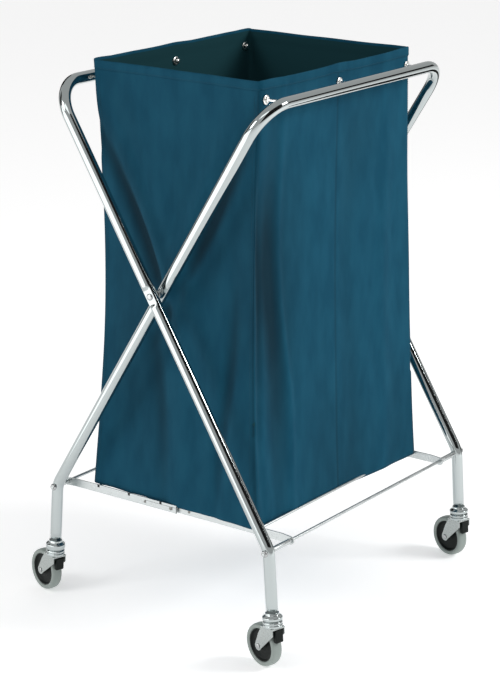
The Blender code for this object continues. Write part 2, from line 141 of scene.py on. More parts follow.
def shader_material(name, color, metallic=0.0, roughness=0.5, specular=0.5):
    mat = bpy.data.materials.new(name)
    mat.use_nodes = True
    shader = mat.node_tree.nodes["Principled BSDF"]
    shader.inputs["Base Color"].default_value = (*color, 1.0)
    shader.inputs["Metallic"].default_value = metallic
    shader.inputs["Roughness"].default_value = roughness
    shader.inputs["Specular IOR Level"].default_value = specular
    return mat, mat.node_tree, shader


def plain(name, color, roughness, specular=0.5):
    return shader_material(name, color, 0.0, roughness, specular)[0]


def object_noise(tree, scale, detail=4.0, stretch=(1, 1, 1)):
    """A noise texture in the cart's own coordinates."""
    coords = tree.nodes.new("ShaderNodeTexCoord")
    mapping = tree.nodes.new("ShaderNodeMapping")
    mapping.inputs["Scale"].default_value = stretch
    tex = tree.nodes.new("ShaderNodeTexNoise")
    tex.inputs["Scale"].default_value = scale
    tex.inputs["Detail"].default_value = detail
    tree.links.new(coords.outputs["Object"], mapping.inputs["Vector"])
    tree.links.new(mapping.outputs["Vector"], tex.inputs["Vector"])
    return tex


def ramp(tree, source, low, high, low_at=0.35, high_at=0.65):
    """Maps a texture's value to a range of grey values or colours."""
    node = tree.nodes.new("ShaderNodeValToRGB")
    for element, value, at in zip(node.color_ramp.elements, (low, high), (low_at, high_at)):
        element.position = at
        element.color = (*value, 1.0) if hasattr(value, "__len__") else (value, value, value, 1.0)
    tree.links.new(source, node.inputs["Fac"])
    return node.outputs["Color"]


def bump(tree, shader, source, strength, distance):
    node = tree.nodes.new("ShaderNodeBump")
    node.inputs["Strength"].default_value = strength
    node.inputs["Distance"].default_value = distance
    tree.links.new(source, node.inputs["Height"])
    tree.links.new(node.outputs["Normal"], shader.inputs["Normal"])


def metal(name, color, rough_low, rough_high, scale, bump_strength=0.0):
    mat, tree, shader = shader_material(name, color, 1.0, rough_low)
    tex = object_noise(tree, scale)
    tree.links.new(ramp(tree, tex.outputs["Fac"], rough_low, rough_high), shader.inputs["Roughness"])
    if bump_strength:
        bump(tree, shader, tex.outputs["Fac"], bump_strength, 0.0004)
    return mat


def fabric_material():
    """Closely woven teal cloth: a fine two-way weave, soft shade variation and a slight sheen."""
    mat, tree, shader = shader_material("bag_cloth", (0.010, 0.065, 0.108), 0.0, 0.82, 0.08)
    coords = tree.nodes.new("ShaderNodeTexCoord")
    heights = []
    for direction in ("Z", "DIAGONAL"):
        wave = tree.nodes.new("ShaderNodeTexWave")
        wave.wave_type = "BANDS"
        wave.bands_direction = direction
        wave.inputs["Scale"].default_value = 260.0
        wave.inputs["Distortion"].default_value = 0.6
        wave.inputs["Detail"].default_value = 1.0
        tree.links.new(coords.outputs["Object"], wave.inputs["Vector"])
        heights.append(wave.outputs["Fac"])
    weave = tree.nodes.new("ShaderNodeMath")
    weave.operation = "ADD"
    tree.links.new(heights[0], weave.inputs[0])
    tree.links.new(heights[1], weave.inputs[1])
    slub = object_noise(tree, 38.0, 6.0, (1, 1, 0.35))
    total = tree.nodes.new("ShaderNodeMath")
    total.operation = "MULTIPLY_ADD"
    total.inputs[1].default_value = 0.35
    tree.links.new(weave.outputs[0], total.inputs[0])
    tree.links.new(slub.outputs["Fac"], total.inputs[2])
    bump(tree, shader, total.outputs[0], 0.35, 0.0006)
    tone = ramp(tree, slub.outputs["Fac"], (0.0036, 0.056, 0.099), (0.0066, 0.071, 0.120))
    # the mesh's shade layer mixes in a near-black teal: darker seams and middle lines, and painted shade
    # in the folds' hollows
    seam_and_hollow_shade = tree.nodes.new("ShaderNodeAttribute")
    seam_and_hollow_shade.attribute_name = "shade"
    mix = tree.nodes.new("ShaderNodeMix")
    mix.data_type = "RGBA"
    mix.inputs["B"].default_value = (0.003, 0.015, 0.024, 1.0)
    tree.links.new(seam_and_hollow_shade.outputs["Fac"], mix.inputs["Factor"])
    tree.links.new(tone, mix.inputs["A"])
    tree.links.new(mix.outputs["Result"], shader.inputs["Base Color"])
    shader.inputs["Sheen Weight"].default_value = 0.025
    shader.inputs["Sheen Roughness"].default_value = 0.45
    shader.inputs["Sheen Tint"].default_value = (0.35, 0.62, 0.75, 1.0)
    return mat


def moulded(name, color, rough, scale, specular=0.5):
    mat, tree, shader = shader_material(name, color, 0.0, rough, specular)
    tex = object_noise(tree, scale)
    bump(tree, shader, tex.outputs["Fac"], 0.15, 0.0003)
    tree.links.new(ramp(tree, tex.outputs["Fac"], rough - 0.07, rough + 0.08), shader.inputs["Roughness"])
    return mat


CHROME = metal("bright_chrome", (0.47, 0.51, 0.51), 0.035, 0.075, 30.0)
STEEL = metal("satin_steel", (0.55, 0.58, 0.58), 0.26, 0.38, 90.0, 0.08)
ZINC = metal("zinc_plate", (0.42, 0.45, 0.44), 0.20, 0.34, 140.0, 0.10)
FASTENER = metal("plated_fastener", (0.44, 0.45, 0.45), 0.18, 0.30, 160.0)
RIVET = metal("dull_rivet", (0.20, 0.20, 0.19), 0.25, 0.40, 160.0)
NICKEL = metal("nickel_ring", (0.90, 0.89, 0.86), 0.24, 0.34, 120.0)
CLOTH = fabric_material()
# the inner face is coloured darker and greyer than the outer cloth: painted shade for the bag's inside
INNER_SHADE = plain("bag_inside_painted_shade", (0.0120, 0.0500, 0.0600), 0.9, 0.05)
THREAD = plain("sewing_thread", (0.007, 0.060, 0.092), 0.75)
RUBBER = moulded("grey_rubber", (0.270, 0.312, 0.292), 0.55, 220.0)
BLACK = moulded("black_plastic", (0.003, 0.006, 0.005), 0.45, 260.0, 0.18)
# near-black for painted shade: the notches in the platform bars and the lines at the stop lip and the
# bars' ends
PAINTED_SHADE_BLACK = plain("painted_notch_shade", (0.02, 0.02, 0.02), 0.9)


# ---------------------------------------------------------------- mesh helpers


def mesh_object(name, verts, faces, mat, smooth=True):
    mesh = bpy.data.meshes.new(name)
    mesh.from_pydata([Vector(v) + SHIFT for v in verts], [], faces)
    mesh.update()
    mesh.materials.append(mat)
    for poly in mesh.polygons:
        poly.use_smooth = smooth
    obj = bpy.data.objects.new(name, mesh)
    bpy.context.collection.objects.link(obj)
    return obj


def soften_edges(obj, width, segments=2):
    """Rounds the sharp edges and keeps the flats flat."""
    mod = obj.modifiers.new("bevel", "BEVEL")
    mod.width = width
    mod.segments = segments
    mod.limit_method = "ANGLE"
    mod.angle_limit = radians(35)
    mod.harden_normals = True
    return obj


class Builder:
    """Collects vertices and faces of several simple shapes into one mesh."""

    def __init__(self):
        self.verts, self.faces = [], []

    def add(self, verts, faces):
        base = len(self.verts)
        self.verts += [Vector(v) for v in verts]
        self.faces += [tuple(base + i for i in f) for f in faces]

    def rings(self, rows, closed=False, caps=True):
        """Joins equal loops of points; open stacks get flat caps."""
        sides, count = len(rows[0]), len(rows)
        verts = [p for row in rows for p in row]
        faces = []
        for i in range(count if closed else count - 1):
            j = (i + 1) % count
            for k in range(sides):
                n = (k + 1) % sides
                faces.append((i * sides + k, i * sides + n, j * sides + n, j * sides + k))
        if caps and not closed:
            faces.append(tuple(reversed(range(sides))))
            faces.append(tuple(range((count - 1) * sides, count * sides)))
        self.add(verts, faces)

    def lathe(self, profile, segs, centre, axis, hint=(0, 0, 1)):
        z = Vector(axis).normalized()
        x = (Vector(hint) - Vector(hint).dot(z) * z).normalized()
        y = z.cross(x)
        centre = Vector(centre)
        solid = profile[0][0] == 0.0
        ring = profile[1:-1] if solid else profile
        rows = []
        for r, h in ring:
            angles = [2 * pi * k / segs for k in range(segs)]
            rows.append([centre + (x * cos(u) + y * sin(u)) * r + z * h for u in angles])
        self.rings(rows, closed=not solid)

    def prism(self, outline, low, high, matrix, centre=(0, 0, 0)):
        centre = Vector(centre)
        rows = [[centre + matrix @ Vector((u, v, w)) for u, v in outline] for w in (low, high)]
        self.rings(rows)

    def build(self, name, mat, smooth=True):
        return mesh_object(name, self.verts, self.faces, mat, smooth)


def rounded(profile, radius, steps=3):
    """Rounds the corners of an outline of (radius, height) points, ends on the axis kept."""
    closed = profile[0][0] != 0.0
    count = len(profile)
    out = []
    for i, point in enumerate(profile):
        if not closed and i in (0, count - 1):
            out.append(point)
            continue
        p = Vector(point)
        a, b = Vector(profile[i - 1]), Vector(profile[(i + 1) % count])
        cut = min(radius, 0.42 * (a - p).length, 0.42 * (b - p).length)
        start = p + (a - p).normalized() * cut
        end = p + (b - p).normalized() * cut
        for s in range(steps + 1):
            f = s / steps
            q = start * (1 - f) ** 2 + p * 2 * f * (1 - f) + end * f * f
            out.append((q.x, q.y))
    return out


def lathe_piece(name, profile, centre, axis, mat, body, nodes, segs=40, soft=0.0005, hint=(0, 0, 1)):
    work = Builder()
    work.lathe(rounded(profile, soft), segs, centre, axis, hint)
    return finish_piece(work.build(name, mat), body, nodes)


def finish_piece(obj, body, nodes=()):
    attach(obj, body)
    if nodes:
        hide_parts(*nodes)
    return obj


# ---------------------------------------------------------------- tube frames


def rounded_path(points, radii, steps):
    path = [Vector(points[0])]
    for i in range(1, len(points) - 1):
        p = Vector(points[i])
        back = (Vector(points[i - 1]) - p).normalized()
        ahead = (Vector(points[i + 1]) - p).normalized()
        half = acos(max(-1, min(1, back.dot(ahead)))) / 2
        centre = p + (back + ahead).normalized() * radii[i - 1] / sin(half)
        a = p + back * radii[i - 1] / tan(half) - centre
        b = p + ahead * radii[i - 1] / tan(half) - centre
        sweep = pi - 2 * half
        for s in range(steps + 1):
            f = s / steps
            path.append(centre + (a * sin((1 - f) * sweep) + b * sin(f * sweep)) / sin(sweep))
    path.append(Vector(points[-1]))
    return path


def denser(path, pivots):
    """Adds stations along straight runs, close together round the pivots."""
    out = [path[0]]
    for a, b in zip(path, path[1:]):
        run = b - a
        marks = [k / 6 for k in range(1, 6)] if run.length > 0.1 else []
        for pivot in pivots:
            t = (pivot - a).dot(run) / run.length_squared
            if 0 < t < 1 and (a + run * t - pivot).length < 0.012:
                marks += [t + DENT_LENGTH * 1.2 * k / 14 / run.length for k in range(-14, 15)]
        out += [a + run * t for t in sorted(marks)]
        out.append(b)
    return out


def frame_tube(letter, dent_side):
    """One tube bent into both legs and the rail, dented on one face where the bolt passes."""
    leg_x, side = LEG_X[letter], SIDE[letter]
    foot_y = FOOT_Y - (FOOT_Y - KNEE_Y) * TUBE_END_Z / KNEE_Z
    half = [(side * foot_y, TUBE_END_Z), (side * KNEE_Y, KNEE_Z), (-side * RAIL_Y, RAIL_Z)]
    points = [(-leg_x, y, z) for y, z in half] + [(leg_x, y, z) for y, z in reversed(half)]
    radii = (KNEE_BEND_R, RAIL_BEND_R, RAIL_BEND_R, KNEE_BEND_R)
    pivots = [Vector((s * leg_x, 0, PIVOT_Z)) for s in (-1, 1)]
    path = denser(rounded_path(points, radii, 18), pivots)
    last = len(path) - 1
    rows, normal = [], None
    for i, p in enumerate(path):
        t = (path[min(i + 1, last)] - path[max(i - 1, 0)]).normalized()
        normal = t.cross(Vector((1, 0, 0))) if normal is None else normal
        normal = (normal - normal.dot(t) * t).normalized()
        other = t.cross(normal)
        away = min((p - q).length for q in pivots)
        depth = min(1.0, 1.6 * max(0.0, 1 - (away / DENT_LENGTH) ** 2))
        depth = depth * depth * (3 - 2 * depth)
        row = []
        for k in range(TUBE_SIDES):
            u = 2 * pi * k / TUBE_SIDES
            v = p + (normal * cos(u) + other * sin(u)) * TUBE_R
            out = 1 if p.x > 0 else -1
            if (v.x - p.x) * out * dent_side > 0:
                flat = max(-TUBE_R * DENT_KEEP, min(TUBE_R * DENT_KEEP, v.x - p.x))
                v.x += (p.x + flat - v.x) * depth
            row.append(v)
        rows.append(row)
    work = Builder()
    work.rings(rows)
    tube = work.build(f"frame_{letter}_chrome_tube", CHROME)
    return finish_piece(tube, f"frame_{letter}", [f"frame_{letter}_tube"])


def pivot_pieces():
    for tag, s in (("left", -1), ("right", 1)):
        axis, centre = (s, 0, 0), (0, 0, PIVOT_Z)
        head = LEG_X["b"] + TUBE_R * DENT_KEEP + GAP
        nut_out = LEG_X["a"] - TUBE_R * DENT_KEEP - GAP
        bolt = [
            (0.0, nut_out - 0.0065), (BOLT_R, nut_out - 0.0065), (BOLT_R, head), (BOLT_HEAD_R, head),
            (BOLT_HEAD_R, head + 0.0010), (0.0046, head + 0.0024), (0.0022, head + BOLT_HEAD_T),
            (0.0, head + BOLT_HEAD_T),
        ]
        lathe_piece(f"cross_bolt_{tag}", bolt, centre, axis, FASTENER, "frame_a",
                    [f"pivot_bolt_{tag}"])
        bore = BOLT_R + GAP
        low, high = LEG_X["a"] + TUBE_R + GAP, LEG_X["b"] - TUBE_R - GAP
        lathe_piece(f"cross_spacer_{tag}", [(bore, low), (0.0085, low), (0.0085, high), (bore, high)],
                    centre, axis, STEEL, "frame_a", [f"pivot_spacer_{tag}"], soft=0.0012)
        work = Builder()
        low = nut_out - 0.0050
        nut = [(bore + 0.0004, low), (0.0058, low), (0.0068, low + 0.0008), (0.0068, nut_out),
               (bore + 0.0004, nut_out)]
        work.lathe(nut, 6, centre, axis)
        nut_obj = work.build(f"cross_nut_{tag}", FASTENER, smooth=False)
        finish_piece(nut_obj, "frame_a", [f"pivot_nut_{tag}"])


def rod_pieces(letter):
    leg_x, body = LEG_X[letter], f"frame_{letter}"
    centre = (0, SIDE[letter] * KNEE_Y, ROD_Z)
    end = leg_x + TUBE_R + GAP + ROD_NUT_T + 0.0008
    lathe_piece(f"cross_rod_{letter}", [(0.0, -end), (ROD_R, -end), (ROD_R, end), (0.0, end)],
                centre, (1, 0, 0), STEEL, body, [f"rod_{letter}"], segs=24)
    for tag, s in (("left", -1), ("right", 1)):
        bore, axis = ROD_R + GAP, (s, 0, 0)
        low, high = BAR_X[letter] + BAR_T / 2 + GAP, leg_x - TUBE_R - GAP
        sleeve = [(bore, low), (ROD_SPACER_R, low), (ROD_SPACER_R, high), (bore, high)]
        lathe_piece(f"rod_sleeve_{letter}_{tag}", sleeve, centre, axis, STEEL, body,
                    [f"rod_{letter}_spacer_{tag}"], segs=28)
        low = leg_x + TUBE_R + GAP
        nut = [(bore, low), (ROD_NUT_R, low), (ROD_NUT_R, low + 0.0026),
               (0.0048, low + ROD_NUT_T), (bore, low + ROD_NUT_T)]
        lathe_piece(f"rod_cap_{letter}_{tag}", nut, centre, axis, FASTENER, body,
                    [f"rod_{letter}_nut_{tag}"], segs=28, soft=0.0009)


# ---------------------------------------------------------------- platform


def bar_outline(letter):
    side = SIDE[letter]
    pts = []
    for k in range(17):
        u = pi / 2 - pi * k / 16
        pts.append((side * (KNEE_Y + BAR_END_R * cos(u)), ROD_Z + BAR_END_R * sin(u)))
    flat, tip = side * (KNEE_Y - 0.018), BAR_TIP[letter]
    pts += [(flat, BAR_BOTTOM), (tip, BAR_BOTTOM), (tip, BAR_TOP), (flat, BAR_TOP)]
    return pts if side > 0 else list(reversed(pts))


def lip_shadow_lines(work, yz):
    """Painted shade: dark lines along the stop lip and at the end of frame A's bars, where they meet frame
    B's, standing for the shade in the gap and the shadow of the bar's end.
    """
    tip, face = BAR_TIP["a"], BAR_X["a"] + BAR_T / 2
    low_z, high_z = BAR_TOP - 0.0050, BAR_TOP - 0.0045
    lip = [(tip + 0.002, low_z), (LIP_END_Y, low_z), (LIP_END_Y, high_z), (tip + 0.002, high_z)]
    low_z, high_z = BAR_BOTTOM + 0.001, BAR_TOP - 0.001
    end = [(tip, low_z), (tip + 0.0009, low_z), (tip + 0.0009, high_z), (tip, high_z)]
    for s in (-1, 1):
        low, high = sorted((s * face - s * 0.0006, s * (face + 0.0001)))
        work.prism(lip, low, high, yz)
        work.prism(end, low, high, yz)


def platform_piece(letter):
    """The two strip bars and the cross wires let into them."""
    yz = Matrix(((0, 0, 1), (1, 0, 0), (0, 1, 0)))
    work = Builder()
    x = BAR_X[letter]
    for s in (-1, 1):
        work.prism(bar_outline(letter), s * x - BAR_T / 2, s * x + BAR_T / 2, yz)
    bars = soften_edges(work.build(f"platform_{letter}_bars", STEEL), 0.0005)
    body = f"platform_{letter}_half"
    finish_piece(bars, body, [f"platform_{letter}"])
    wires, notch_shade = Builder(), Builder()
    end = x - 0.0002
    for y in WIRES[letter]:
        z = BAR_TOP - WIRE_R - 0.0001
        profile = rounded([(0.0, -end), (WIRE_R, -end), (WIRE_R, end), (0.0, end)], 0.0005)
        wires.lathe(profile, 20, (0, y, z), (1, 0, 0))
    finish_piece(wires.build(f"platform_{letter}_wires", STEEL), body)
    # dark blocks on the bars' faces where the wires sit and at the empty notch: painted shade for the
    # notches
    marks = WIRES[letter] + ((EMPTY_NOTCH_Y,) if letter == "a" else ())
    for y in marks:
        for s in (-1, 1):
            face = s * (x + BAR_T / 2 + 0.00005)
            outline = [(y - 0.0024, BAR_TOP - 0.0048), (y + 0.0024, BAR_TOP - 0.0048),
                       (y + 0.0026, BAR_TOP + 0.0001), (y - 0.0026, BAR_TOP + 0.0001)]
            low, high = sorted((face - s * 0.0016, face))
            notch_shade.prism(outline, low, high, yz)
    if letter == "a":
        lip_shadow_lines(notch_shade, yz)
    notch_shade_obj = notch_shade.build(f"platform_{letter}_notches", PAINTED_SHADE_BLACK, smooth=False)
    finish_piece(notch_shade_obj, body)


def platform_rivets():
    """Centre rivets, and the small rivets beside them."""
    for tag, s in (("left", -1), ("right", 1)):
        low = BAR_X["a"] + BAR_T / 2 + 0.0001
        centre = (0, CENTRE_RIVET_Y, (BAR_BOTTOM + BAR_TOP) / 2)
        head = [(0.0, low), (0.0036, low), (0.0034, low + 0.0008), (0.0018, low + 0.0014),
                (0.0, low + 0.0014)]
        lathe_piece(f"middle_rivet_{tag}", head, centre, (s, 0, 0), RIVET, "platform_a_half",
                    [f"centre_rivet_{tag}"], segs=24)
        for letter, y in SIDE_RIVETS:
            low = BAR_X[letter] + BAR_T / 2 + 0.0001
            small = [(0.0, low), (0.0028, low), (0.0026, low + 0.0006), (0.0012, low + 0.0010),
                     (0.0, low + 0.0010)]
            lathe_piece(f"side_rivet_{letter}_{tag}", small, (0, y, centre[2]), (s, 0, 0), RIVET,
                        f"platform_{letter}_half", [], segs=20)


# ---------------------------------------------------------------- bag


def bag_outline(f):
    """Half sizes of the bag and the inward bow of its end walls at a share f of its height."""
    half_x = BAG_BOTTOM_X + (BAG_TOP_X - BAG_BOTTOM_X) * f
    return half_x, BAG_Y, BAG_WAIST * sin(pi * f)


def around(u, half_x, half_y):
    """Point and outward normal at a share u of the way round a rounded rectangle.
    u = 0 is the middle of the +X wall and u grows anticlockwise seen from above."""
    r = BAG_CORNER_R
    lx, ly, arc = 2 * (half_x - r), 2 * (half_y - r), pi * r / 2
    total = 2 * lx + 2 * ly + 4 * arc
    s = (u % 1.0) * total
    runs = [
        (ly / 2, (half_x, 0), (0, 1)), (arc, (half_x - r, half_y - r), 0),
        (lx, (half_x - r, half_y), (-1, 0)), (arc, (-half_x + r, half_y - r), 1),
        (ly, (-half_x, half_y - r), (0, -1)), (arc, (-half_x + r, -half_y + r), 2),
        (lx, (-half_x + r, -half_y), (1, 0)), (arc, (half_x - r, -half_y + r), 3),
        (ly / 2, (half_x, -half_y + r), (0, 1)),
    ]
    for length, start, way in runs:
        if s <= length:
            break
        s -= length
    if isinstance(way, int):
        a = way * pi / 2 + s / r
        return start[0] + r * cos(a), start[1] + r * sin(a), cos(a), sin(a)
    x, y = start[0] + way[0] * s, start[1] + way[1] * s
    return x, y, way[1], -way[0]


def corner_shift(x, y, f, half_x, half_y):
    """The corners' offsets spread smoothly over the outline at a share f of the height."""
    total = Vector((0, 0, 0))
    for (cx, cy), (top, middle, bottom) in BAG_CORNERS.items():
        weight = (1 + cx * x / half_x) * (1 + cy * y / half_y) / 4
        drop = Vector((bottom.x, bottom.y, bottom.z * max(0.0, 1 - f) ** 3))
        rise = Vector((top.x, top.y, top.z * min(1.0, max(0.0, f)) ** 3))
        total += weight * (drop * (1 - f) + rise * f + middle * sin(pi * min(1.0, max(0.0, f))))
    return total


def wall_share(side, x, f):
    """Share of the way round at which a long wall passes a given X."""
    half_x, half_y, _ = bag_outline(f)
    r = BAG_CORNER_R
    lx, ly, arc = 2 * (half_x - r), 2 * (half_y - r), pi * r / 2
    total = 2 * lx + 2 * ly + 4 * arc
    if side > 0:
        return (ly / 2 + arc + half_x - r - x) / total
    return (ly * 1.5 + 3 * arc + lx + half_x - r + x) / total


def gauss(x, width):
    return exp(-(x / width) ** 2)


def fold_depth(x, y, z, nx, ny):
    """How far the cloth stands out from its plain outline, from its folds and wrinkles."""
    f = (z - BAG_BOTTOM) / (BAG_TOP - BAG_BOTTOM)
    lower = max(0.0, 1 - f)
    d = 0.0
    along = y if abs(nx) > 0.7 else x
    # slow swells and finer creases, fading at the hem
    calm = min(1.0, 6 * (1 - f)) * 0.9 + 0.1
    p = Vector((x * 5.0, y * 5.0, z * 2.2))
    d += 0.0048 * noise.noise(p) * calm
    p = Vector((x * 14.0, y * 14.0, z * 5.0 + 7.0))
    d += 0.0016 * noise.noise(p) * calm
    # soft upright folds beside the corners of the long walls
    if abs(ny) > 0.7:
        for at, amount, drift, width in WALL_FOLDS:
            centre = at + drift * lower + 0.007 * sin(9 * f + 40 * at)
            d += amount * gauss(along - centre, width) * (0.12 + 0.88 * gauss(f - 0.45, 0.40))
    # long slanting wrinkles across the end walls, from the rail ends down to the far corner
    if abs(nx) > 0.7:
        for start, slope, amount, at, width in END_FOLDS:
            line = start + slope * (0.95 - f) + 0.010 * sin(7 * f + 30 * start)
            d += amount * gauss(along - line, width) * gauss(f - at, 0.25)
    return d


def fold_at(u, f):
    """The folds' depth at a share of the way round and up, kept clear of rail B's side."""
    half_x, half_y, _ = bag_outline(f)
    x, y, nx, ny = around(u, half_x, half_y)
    limit = REAR_FOLD_LIMIT if ny > 0.3 else FOLD_LIMIT
    return max(-limit, min(limit, fold_depth(x, y, BAG_BOTTOM + (BAG_TOP - BAG_BOTTOM) * f, nx, ny)))


def bag_point(u, f, lift=0.0):
    """A point of the cloth's outer surface, lifted outwards by the given amount."""
    half_x, half_y, bow = bag_outline(f)
    x, y, nx, ny = around(u, half_x, half_y)
    z = BAG_BOTTOM + (BAG_TOP - BAG_BOTTOM) * f
    x -= (bow if x > 0 else -bow) * (abs(x) / half_x) ** 6
    d = fold_at(u, f) + lift
    # the mouth hangs between its eyelets and is drawn out at each of them
    if f > 0.9:
        near = max(gauss(x - e, 0.035) for e in EYELET_XS) if abs(ny) > 0.7 else 0.0
        edge = (f - 0.9) / 0.1
        z -= 0.0030 * edge * (1 - near) * (0.5 + 0.5 * noise.noise(Vector((x * 9, y * 9, 3.0))))
    # the lower edge rests on the platform's wires and sags between them
    if f < 0.04:
        z -= 0.0008 * (1 - f / 0.04) * (0.5 - 0.5 * cos(2 * pi * y / 0.0735)) * (abs(nx) > 0.7)
    return Vector((x + nx * d, y + ny * d, z)) + corner_shift(x, y, f, half_x, half_y)


def seam_positions():
    """Shares of the way round at which the bag's four corner seams lie."""
    half_x, half_y = BAG_BOTTOM_X, BAG_Y
    r = BAG_CORNER_R
    lx, ly, arc = 2 * (half_x - r), 2 * (half_y - r), pi * r / 2
    total = 2 * lx + 2 * ly + 4 * arc
    corners = []
    s = ly / 2 + arc / 2
    for step in (lx, ly, lx, ly):
        corners.append(s / total)
        s += step + arc
    return corners


def shade_layer(obj, values):
    layer = obj.data.attributes.new("shade", "FLOAT", "POINT")
    layer.data.foreach_set("value", values)


def bag_floor(work, rim):
    """The bottom panel, a little uneven, joined to the walls' lowest loop."""
    centre = Vector((0, 0, BAG_BOTTOM))
    base = len(work.verts)
    for i in range(1, PANEL_LOOPS):
        share = 1 - i / PANEL_LOOPS
        for p in rim:
            q = centre + (p - centre) * share
            q.z = BAG_BOTTOM + GAP + 0.0008 * noise.noise(Vector((q.x * 20, q.y * 20, 0)))
            work.verts.append(q)
    for i in range(PANEL_LOOPS - 1):
        outer = base + (i - 1) * BAG_AROUND if i else 0
        inner = base + i * BAG_AROUND
        for k in range(BAG_AROUND):
            n = (k + 1) % BAG_AROUND
            work.faces.append((outer + n, outer + k, inner + k, inner + n))
    last = base + (PANEL_LOOPS - 2) * BAG_AROUND
    work.faces.append(tuple(reversed(range(last, last + BAG_AROUND))))


def bag_shell(corners):
    """The walls and the bottom. The shade layer darkens the seams and the middle lines of the long walls,
    and paints shade into the folds' hollows.
    """
    middles = [(corners[0] + corners[1]) / 2, (corners[2] + corners[3]) / 2]
    rows, shade = [], []
    for i in range(BAG_ROWS + 1):
        f = i / BAG_ROWS
        row = []
        for k in range(BAG_AROUND):
            u = k / BAG_AROUND
            pinch = sum(gauss(min(abs(u - c), 1 - abs(u - c)), 0.0016) for c in corners)
            line = sum(gauss(min(abs(u - c), 1 - abs(u - c)), 0.0012) for c in middles)
            row.append(bag_point(u, f, 0.0016 * pinch - 0.0006 * line))
            # painted shade: the deeper a fold's hollow, the darker its colour
            painted_hollow_shade = max(0.0, -fold_at(u, f)) / 0.0080
            shade.append(min(1.0, 0.55 * pinch * (0.4 + 0.6 * (1 - f)) + 0.35 * line + 0.60 * painted_hollow_shade))
        rows.append(row)
    work = Builder()
    work.rings(rows, caps=False)
    bag_floor(work, rows[0])
    bag = work.build("cloth_bag", CLOTH)
    shade_layer(bag, shade + [0.0] * (len(bag.data.vertices) - len(shade)))
    return bag


def bag_inner_face():
    """The cloth's inner face, a little inside the outer one and over the hem's inner side. Its darker,
    greyer colour is painted shade for the bag's inside.
    """
    rows = []
    for i in range(BAG_ROWS + 1):
        f = 0.002 + 0.993 * i / BAG_ROWS
        lift = -2 * CLOTH_HALF_T if f < 0.974 else -0.0021
        rows.append([bag_point(k / BAG_AROUND, f, lift) for k in reversed(range(BAG_AROUND))])
    work = Builder()
    work.rings(rows, caps=False)
    return work.build("bag_inner_face", INNER_SHADE)


def bag_hem():
    """The folded hem along the mouth, as (share of the height, distance from the cloth)."""
    section = [(HEM_LOW, 0.0010), (HEM_LOW + 0.004, 0.0016), (0.997, 0.0016), (1.0005, 0.0012),
               (1.0014, 0.0), (1.0005, -0.0012), (0.997, -0.0016), (HEM_LOW + 0.004, -0.0016),
               (HEM_LOW, -0.0010)]
    work = Builder()
    loops = [[bag_point(k / BAG_AROUND, f, lift) for k in range(BAG_AROUND)] for f, lift in section]
    work.rings(loops, closed=True)
    hem = work.build("bag_hem", CLOTH)
    shade_layer(hem, [0.0] * len(hem.data.vertices))
    return hem


def stitch(work, u, f, ahead, lift):
    """One stitch at a place on the cloth, pointing towards another."""
    p = bag_point(u, f, lift)
    along = (bag_point(*ahead, lift) - p).normalized()
    outward = (bag_point(u, f, 0.01) - bag_point(u, f, 0.0)).normalized()
    across = along.cross(outward).normalized()
    up = across.cross(along)
    mid = p + outward * 0.0001
    pts = [mid - along * STITCH_LENGTH / 2, mid + along * STITCH_LENGTH / 2]
    pts += [mid + across * STITCH_R * cos(a) + up * STITCH_R * 1.6 * sin(a)
            for a in (0, pi / 2, pi, 3 * pi / 2)]
    faces = [(0, 3, 2), (0, 4, 3), (0, 5, 4), (0, 2, 5), (1, 2, 3), (1, 3, 4), (1, 4, 5), (1, 5, 2)]
    work.add(pts, faces)


def bag_stitching(corners):
    """A row of stitches along the hem, and a row on each side of each seam."""
    work = Builder()
    f = HEM_LOW + 0.0035
    for k in range(HEM_STITCHES):
        u = k / HEM_STITCHES
        stitch(work, u, f, (u + 0.0008, f), 0.0015)
    for c in corners:
        for u in (c - SEAM_ROW_SHARE, c + SEAM_ROW_SHARE):
            for k in range(SEAM_STITCHES):
                f = 0.01 + 0.96 * k / SEAM_STITCHES
                stitch(work, u, f, (u, f + 0.004), GAP)
    return work.build("bag_stitching", THREAD, smooth=False)


def bag_pieces():
    corners = seam_positions()
    bag, inner_face, hem = bag_shell(corners), bag_inner_face(), bag_hem()
    thread = bag_stitching(corners)
    finish_piece(bag, "frame_a", ["bag"])
    for piece in (hem, inner_face, thread):
        finish_piece(piece, "frame_a")
    for piece in (bag, hem, inner_face, thread):
        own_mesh(piece)


def eyelets():
    names = ("left", "middle", "right")
    for letter, side in (("a", -1), ("b", 1)):
        for tag, x in zip(names, EYELET_XS):
            centre, axis, body = (x, 0, RAIL_Z), (0, side, 0), f"frame_{letter}"
            wall = side * bag_point(wall_share(side, x, RAIL_SHARE), RAIL_SHARE).y
            out_face, in_face = wall + 0.0024, wall - 0.0030
            ring = [(0.0034, in_face), (0.0062, in_face - 0.0008), (0.0085, in_face),
                    (0.0085, in_face + 0.0012), (0.0046, in_face + 0.0014), (0.0046, out_face - 0.0014),
                    (0.0085, out_face - 0.0012), (0.0085, out_face), (0.0062, out_face + 0.0008),
                    (0.0034, out_face)]
            lathe_piece(f"ring_{letter}_{tag}", ring, centre, axis, NICKEL, body,
                        [f"eyelet_{letter}_{tag}"], segs=40, soft=0.0006)
            root = RAIL_Y - TUBE_R + 0.0006
            knob = in_face - 0.0014
            stud = [(0.0, knob - 0.0054), (0.0028, knob - 0.0054), (0.0048, knob - 0.0040),
                    (0.0048, knob - 0.0014), (0.0026, knob), (0.0026, root), (0.0, root)]
            lathe_piece(f"rail_stud_{letter}_{tag}", stud, centre, axis, NICKEL, body,
                        [f"stud_{letter}_{tag}"], segs=32, soft=0.0008)


# ---------------------------------------------------------------- casters


def caster_axes(side):
    lean = atan2(FOOT_Y - KNEE_Y, KNEE_Z)
    up = Vector((0, -side * sin(lean), cos(lean)))
    trail = Vector((0.276, 0.961, 0.0))
    trail = (trail - trail.dot(up) * up).normalized()
    return up, trail, up.cross(trail)


